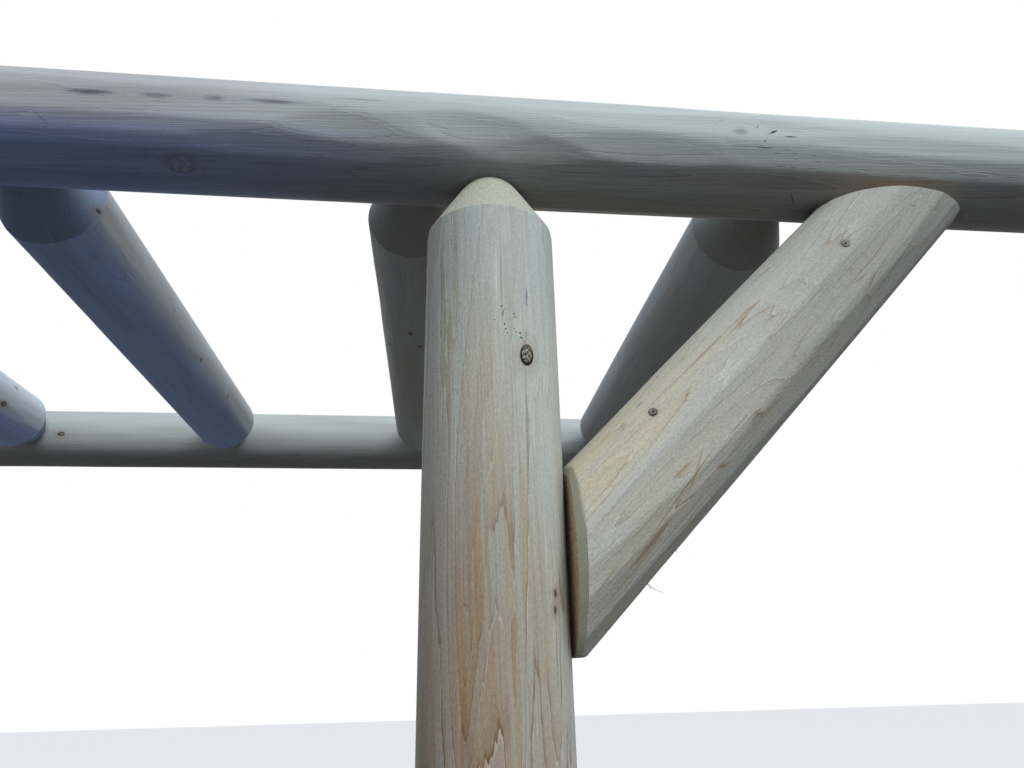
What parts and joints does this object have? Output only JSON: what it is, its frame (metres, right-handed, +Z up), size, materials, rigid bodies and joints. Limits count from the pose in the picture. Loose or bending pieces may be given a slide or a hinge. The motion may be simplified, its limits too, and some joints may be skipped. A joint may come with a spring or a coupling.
{
  "type": "wooden garden arbor",
  "caption": "Open garden arbor of peeled round cedar logs: posts carry two long beams through tenons, with rafters between the beams and 45 degree braces.",
  "frame": {"origin": "on the ground, in the middle between the four posts", "axes": "+X along the beams to the right, +Y from the front beam to the back beam, +Z up"},
  "size_m": [3.658, 1.0152, 2.1378],
  "materials": {
    "post_cedar": "peeled cedar, bleached grey beige with tan grain",
    "beam_cedar": "peeled cedar, weathered grey",
    "rafter_cedar": "peeled cedar, weathered bluish grey",
    "brace_cedar": "peeled cedar, bleached grey beige",
    "screw_steel": "weathered deck screw"
  },
  "bodies": {
    "root": {"front_beam": "beam_cedar", "back_beam": "beam_cedar", "front_left_post": "post_cedar", "front_right_post": "post_cedar", "back_left_post": "post_cedar", "back_right_post": "post_cedar", "front_left_brace": "brace_cedar", "front_right_brace": "brace_cedar", "back_left_brace": "brace_cedar", "back_right_brace": "brace_cedar", "rafter_1": "rafter_cedar", "rafter_2": "rafter_cedar", "rafter_3": "rafter_cedar", "rafter_4": "rafter_cedar", "rafter_5": "rafter_cedar", "rafter_6": "rafter_cedar", "rafter_7": "rafter_cedar", "rafter_8": "rafter_cedar", "rafter_9": "rafter_cedar"}
  },
  "joints": []
}
